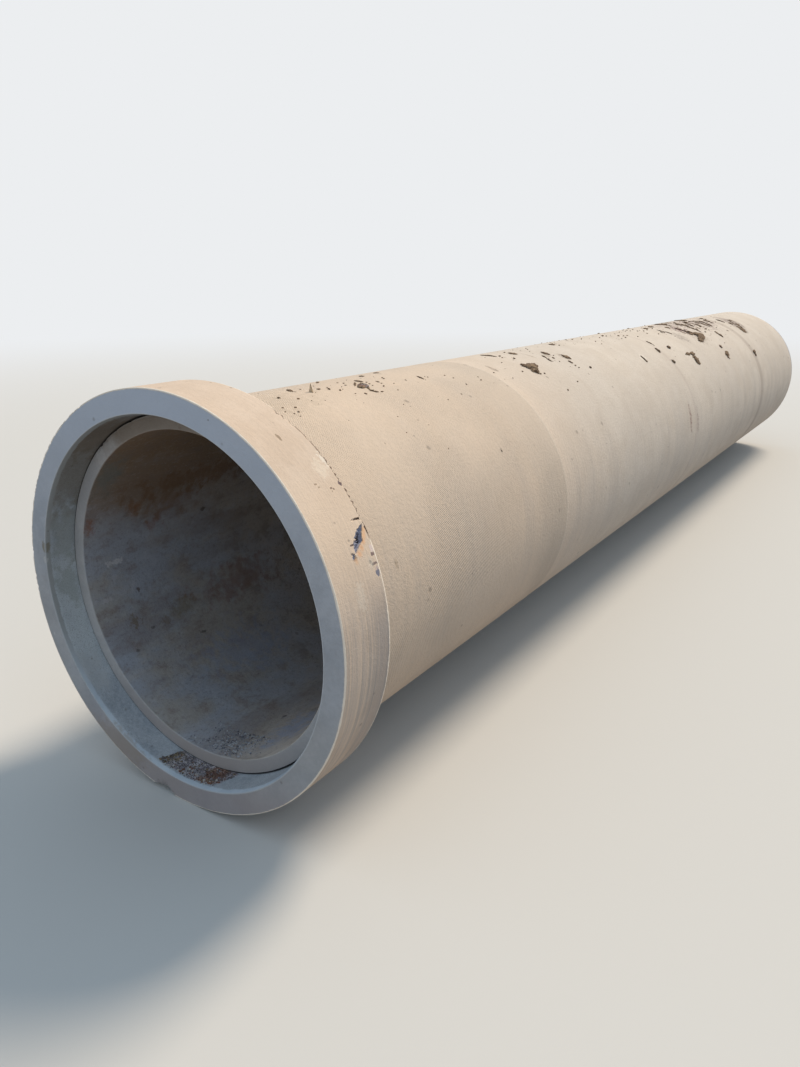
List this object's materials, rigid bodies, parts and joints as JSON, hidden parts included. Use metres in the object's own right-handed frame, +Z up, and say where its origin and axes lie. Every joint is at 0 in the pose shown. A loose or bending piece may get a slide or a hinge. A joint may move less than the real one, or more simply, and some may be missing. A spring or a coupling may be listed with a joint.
{
  "type": "concrete culvert pipe",
  "caption": "Thin-walled fibre-cement concrete drainage pipe lying on its side, with a plain round bore, machined spigot ends and a jointing collar fitted over one end.",
  "frame": {"origin": "on the floor, under the middle of the whole length and the pipe's axis", "axes": "+Z up; +Y along the pipe's axis from the collar's open mouth towards the far spigot end; the axis is level, one collar radius above the floor"},
  "size_m": [0.751, 4.058, 0.751],
  "materials": {
    "pipe_concrete": "rough, felt-marked concrete, sun-bleached and mud-specked outside, grey and water-stained in the bore",
    "collar_concrete": "turned concrete, fine lathe lines outside, smooth sawn end faces",
    "dried_soil": "dried clay and gravel that fell on the pipe, dull and crumbly"
  },
  "bodies": {
    "root": {"pipe": "pipe_concrete", "collar": "collar_concrete"}
  },
  "joints": []
}
